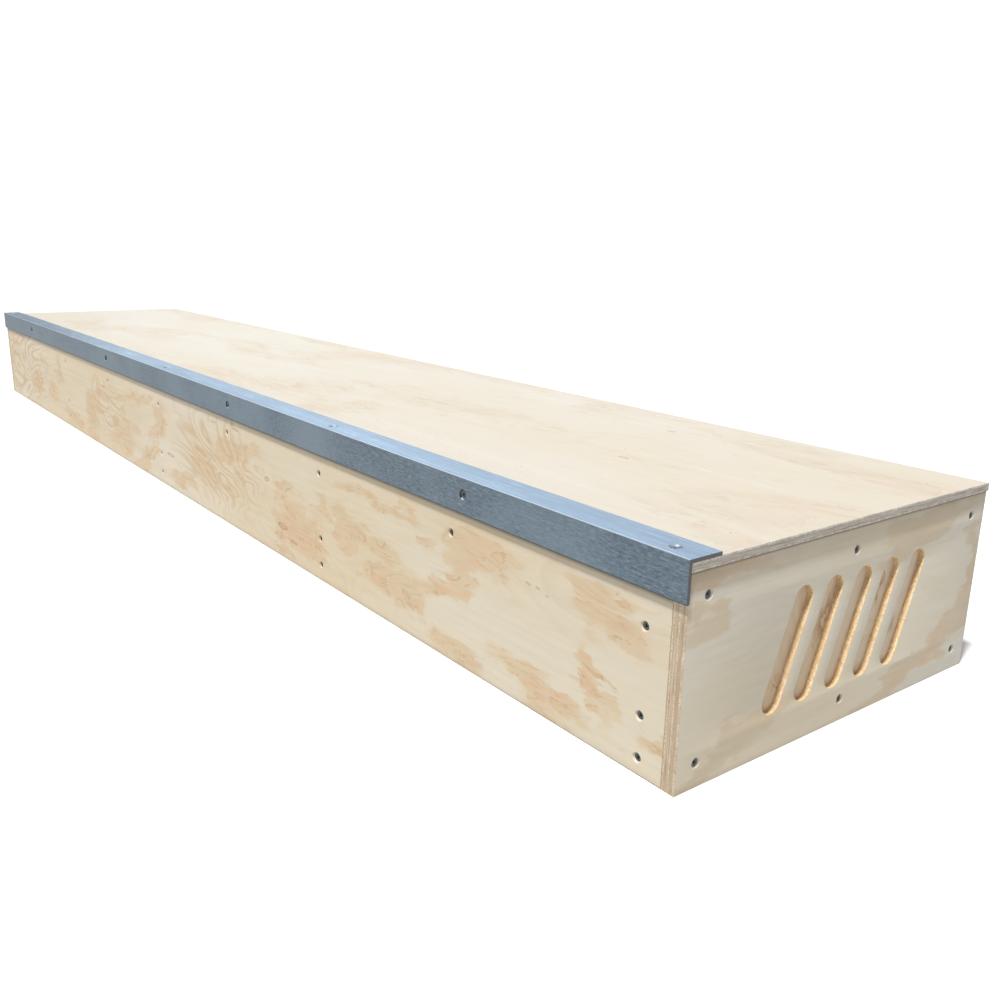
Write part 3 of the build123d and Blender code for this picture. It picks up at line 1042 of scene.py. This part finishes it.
# The routed end face carries a painted shadow under the deck's overhang
end_face = plywood_face(
    "end_plywood_face", ("Y", "Z"), 5.6, END_LIGHT, END_FLAME, 0.2, from_steel_side(END_FIGURE), kind=SOFT,
    veins=0.03, rings=0.12, painted_shade=(DECK_BOTTOM, 4.5 * MM, 26 * MM, 0.29),
)
plain_face = plywood_face(
    "plain_end_plywood_face", ("Y", "Z"), 3.2, END_LIGHT, END_FLAME, 0.6, kind=SOFT
)
deck_face = plywood_face(
    "deck_plywood_face", ("X", "Y"), 12.4, DECK_LIGHT, DECK_FLAME, 1.0,
    marks=marks_from_end(DECK_MARKS), kind=FAINT, shine=0.12, veins=0.012, mottle=0.4, rings=0.12,
)
pocket_floor = plywood_face(
    "pocket_floor_veneer", ("Z", "Y"), 6.9, FLOOR_LIGHT, FLOOR_FLAME, 0.5,
    in_millimetres(FLOOR_FIGURE), [FLOOR_KNOT],
)
side_edge = plywood_edge("side_plywood_edge", LENGTH_GRAIN, CROSS_GRAIN, EDGE_LIGHT, EDGE_DARK, 0.0004)
end_edge = plywood_edge("end_plywood_edge", ACROSS_GRAIN, CROSS_GRAIN, EDGE_LIGHT, EDGE_DARK, 0.0004)
deck_edge = plywood_edge(
    "deck_plywood_edge", LENGTH_GRAIN, ACROSS_GRAIN, DECK_EDGE_LIGHT, DECK_EDGE_DARK, 0.0004
)
routed_wood = plywood_edge(
    "routed_plywood", ACROSS_GRAIN, CROSS_GRAIN, ROUTED_LIGHT, ROUTED_DARK, 0.0006
)
# Screw colours carry painted light: near-black zinc as painted shade for screws in countersinks and on the
# hanging leg, and a paler copy as painted light for the screws that face up
shaded_screw_zinc = zinc("shaded_screw_zinc", tone(0.035, 0.045, 0.055), tone(0.15, 0.168, 0.19))
lit_zinc = zinc("lit_screw_zinc", tone(0.15, 0.17, 0.19), tone(0.29, 0.31, 0.34))
brad_wire = zinc("brad_wire", tone(0.36, 0.35, 0.34), tone(0.5, 0.49, 0.47))

front_steel_screws = heads("angle_side_screws", -Y)
long_panel("front_side_panel", "front_panel_screws", -Y, [front_face, side_edge], front_steel_screws)
long_panel("back_side_panel", "back_panel_screws", Y, [back_face, side_edge])
routed_materials = [end_face, end_edge, routed_wood, pocket_floor]
end_panel("routed_end_panel", "routed_end_screws", X, routed_materials, True)
end_panel("plain_end_panel", "plain_end_screws", -X, [plain_face, end_edge], False)
deck([deck_face, deck_edge])

dice = random.Random(11)
screws("front_panel_screws", -Y, PANEL_HEAD_RADIUS, shaded_screw_zinc, dice)
screws("back_panel_screws", Y, PANEL_HEAD_RADIUS, shaded_screw_zinc, dice)
screws("routed_end_screws", X, PANEL_HEAD_RADIUS, shaded_screw_zinc, dice)
screws("plain_end_screws", -X, PANEL_HEAD_RADIUS, shaded_screw_zinc, dice)
screws("angle_side_screws", -Y, STEEL_HEAD_RADIUS, shaded_screw_zinc, dice)
screws("angle_top_screws", Z, STEEL_HEAD_RADIUS, lit_zinc, dice)


def refinish(node, material):
    """A carried-over CAD node with the material in every slot."""
    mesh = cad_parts[node].data
    mesh.materials.clear()
    mesh.materials.append(material)


refinish("steel_edge_angle", mill_steel())
refinish("deck_brads", brad_wire)
wood = lumber()
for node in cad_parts:
    if "joist" in node:
        refinish(node, wood)


# ---------------------------------------------------------------- studio

# The camera's place, and its angles: round from the front, up, and rolled
CAMERA_PLACE = (1.698, -0.784, 0.454)
CAMERA_ANGLES = [math.radians(degrees) for degrees in (52.49, 15.52, 1.17)]
CAMERA_LENS = 35.26
SENSOR_WIDTH = 36
FLOOR_REACH = 60
SKY_LEVEL = 0.42
KEY_LEVEL = 4.05
KEY_PLACE = (0.34, -1.1, 3.3)
KEY_SPREAD = math.radians(5)
CARD_LEVEL = 800
CARD_PLACE = (-12.0, 11.0, 3.6)
CARD_SIZE = (18.0, 6.5)


def floor():
    """A plain pale floor that reaches the horizon."""
    corners = [(FLOOR_REACH * x, FLOOR_REACH * y, 0) for x, y in ((-1, -1), (1, -1), (1, 1), (-1, 1))]
    mesh = bpy.data.meshes.new("floor")
    mesh.from_pydata(corners, [], [(0, 1, 2, 3)])
    material = bpy.data.materials.new("floor_white")
    material.use_nodes = True
    nodes, links = material.node_tree.nodes, material.node_tree.links
    shader = nodes["Principled BSDF"]
    seen = nodes.new("ShaderNodeLightPath")
    pale = nodes.new("ShaderNodeMix")
    pale.data_type = "RGBA"
    pale.inputs[6].default_value = tone(0.7, 0.7, 0.7)
    pale.inputs[7].default_value = tone(0.82, 0.82, 0.82)
    links.new(seen.outputs["Is Camera Ray"], pale.inputs["Factor"])
    links.new(pale.outputs[2], shader.inputs["Base Color"])
    shader.inputs["Roughness"].default_value = 0.9
    shader.inputs["Specular IOR Level"].default_value = 0.1
    mesh.materials.append(material)
    piece = bpy.data.objects.new("floor", mesh)
    bpy.context.scene.collection.objects.link(piece)


def sky():
    """Even studio light all round, seen as plain white by the camera."""
    world = bpy.data.worlds.new("studio")
    world.use_nodes = True
    bpy.context.scene.world = world
    nodes, links = world.node_tree.nodes, world.node_tree.links
    light = nodes["Background"]
    light.inputs["Color"].default_value = tone(0.97, 0.985, 1.0)
    light.inputs["Strength"].default_value = SKY_LEVEL
    white = nodes.new("ShaderNodeBackground")
    white.inputs["Color"].default_value = tone(1, 1, 1)
    white.inputs["Strength"].default_value = 1.05
    seen = nodes.new("ShaderNodeLightPath")
    both = nodes.new("ShaderNodeMixShader")
    links.new(seen.outputs["Is Camera Ray"], both.inputs["Fac"])
    links.new(light.outputs["Background"], both.inputs[1])
    links.new(white.outputs["Background"], both.inputs[2])
    links.new(both.outputs["Shader"], nodes["World Output"].inputs["Surface"])


def aimed(name, data, place, target):
    """A lamp at a place, pointing at the target."""
    lamp = bpy.data.objects.new(name, data)
    lamp.location = place
    lamp.rotation_mode = "QUATERNION"
    lamp.rotation_quaternion = (Vector(target) - Vector(place)).to_track_quat("-Z", "Y")
    bpy.context.scene.collection.objects.link(lamp)
    return lamp


def key_light():
    """A high, fairly soft key from the steel side, a little towards the routed end."""
    sun = bpy.data.lights.new("key", "SUN")
    sun.energy = KEY_LEVEL
    sun.angle = KEY_SPREAD
    sun.color = (1.0, 0.985, 0.955)
    aimed("key", sun, KEY_PLACE, (0, 0, 0))


def back_card():
    """A broad cool card behind the box that the steel's top leg mirrors."""
    card = bpy.data.lights.new("card", "AREA")
    card.shape = "RECTANGLE"
    card.size, card.size_y = CARD_SIZE
    card.energy = CARD_LEVEL
    card.color = (0.68, 0.85, 1.0)
    lamp = aimed("card", card, CARD_PLACE, (0, 0, 0.2))
    lamp.visible_camera = False


def camera():
    """The photograph's viewing angle, from low over the near end."""
    azimuth, elevation, roll = CAMERA_ANGLES
    flat = math.cos(elevation)
    back = Vector((math.sin(azimuth) * flat, -math.cos(azimuth) * flat, math.sin(elevation)))
    right = Z.cross(back).normalized()
    up = back.cross(right)
    across = right * math.cos(roll) + up * math.sin(roll)
    above = up * math.cos(roll) - right * math.sin(roll)
    data = bpy.data.cameras.new("camera")
    data.sensor_width = SENSOR_WIDTH
    data.lens = CAMERA_LENS
    data.clip_start = 0.02
    data.clip_end = 500
    eye = bpy.data.objects.new("camera", data)
    axes = Matrix((across, above, back)).transposed().to_4x4()
    eye.matrix_world = Matrix.Translation(CAMERA_PLACE) @ axes
    bpy.context.scene.collection.objects.link(eye)
    bpy.context.scene.camera = eye


floor()
sky()
key_light()
back_card()
camera()
bpy.context.scene.view_settings.view_transform = "Standard"
